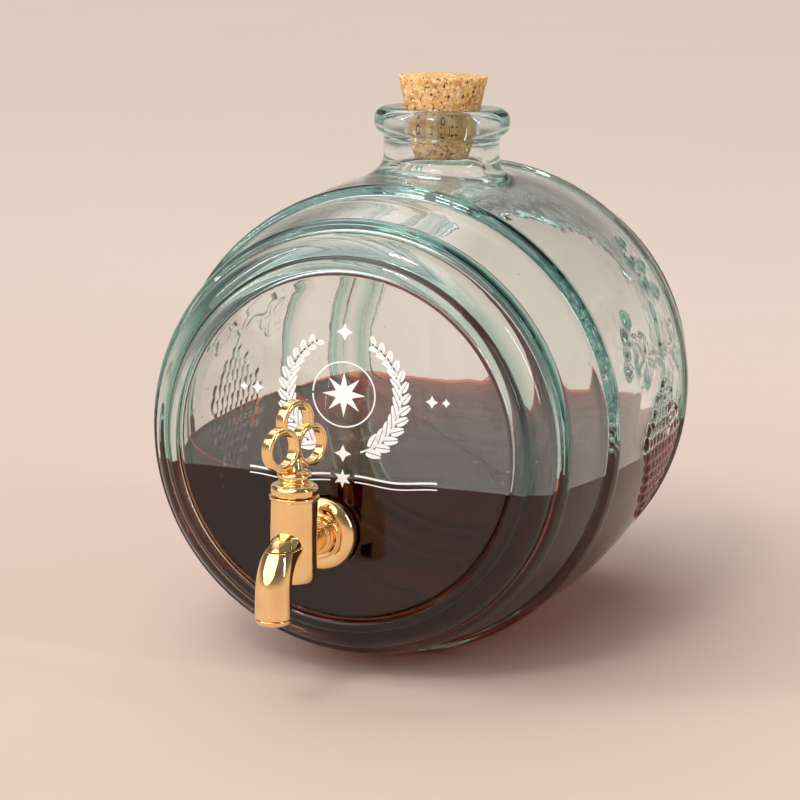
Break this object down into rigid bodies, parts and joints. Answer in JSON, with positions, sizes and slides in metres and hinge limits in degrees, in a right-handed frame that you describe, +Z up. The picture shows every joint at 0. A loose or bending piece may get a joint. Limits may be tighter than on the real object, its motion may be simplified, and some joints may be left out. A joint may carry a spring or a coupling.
{
  "type": "drink dispenser barrel",
  "caption": "Clear glass barrel dispenser with a filled body, a tapered cork in its neck and a plug tap with a trefoil key on the front head.",
  "frame": {"origin": "middle of the flat foot, straight under the neck", "axes": "+Z up through the neck, +Y along the barrel towards its back head, so the tap points to -Y and +X is the right side seen from the tap"},
  "size_m": [0.174, 0.2538, 0.2037],
  "materials": {
    "clear_glass": "polished moulded glass",
    "whisky": "deep amber liquid",
    "cork": "fine agglomerated cork",
    "gold_plate": "polished gold plating",
    "brass": "machined brass",
    "steel": "stainless steel",
    "black_rubber": "food grade rubber"
  },
  "bodies": {
    "root": {"glass_barrel": "clear_glass", "whisky_fill": "whisky", "tap_body": "gold_plate", "tap_spout": "gold_plate", "spout_nozzle": "gold_plate", "flange_rosette": "gold_plate", "tap_shank": "brass", "outer_gasket": "black_rubber", "inner_gasket": "black_rubber", "inner_washer": "steel", "hex_nut": "brass"},
    "cork": {"cork_stopper": "cork"},
    "key": {"key_handle": "gold_plate", "key_pin": "steel", "valve_plug": "brass", "plug_oring_upper": "black_rubber", "plug_oring_lower": "black_rubber", "plug_washer": "steel", "plug_spring_washer": "steel", "plug_screw": "steel"}
  },
  "joints": [
    {"name": "cork_lift", "type": "slide", "parent": "root", "child": "cork", "axis": [0, 0, 1], "range_m": [0, 0.05]},
    {"name": "key_turn", "type": "hinge", "parent": "root", "child": "key", "pos_m": [-0.0065, -0.12875, 0.0725], "axis": [0, 0, 1], "continuous": true}
  ]
}
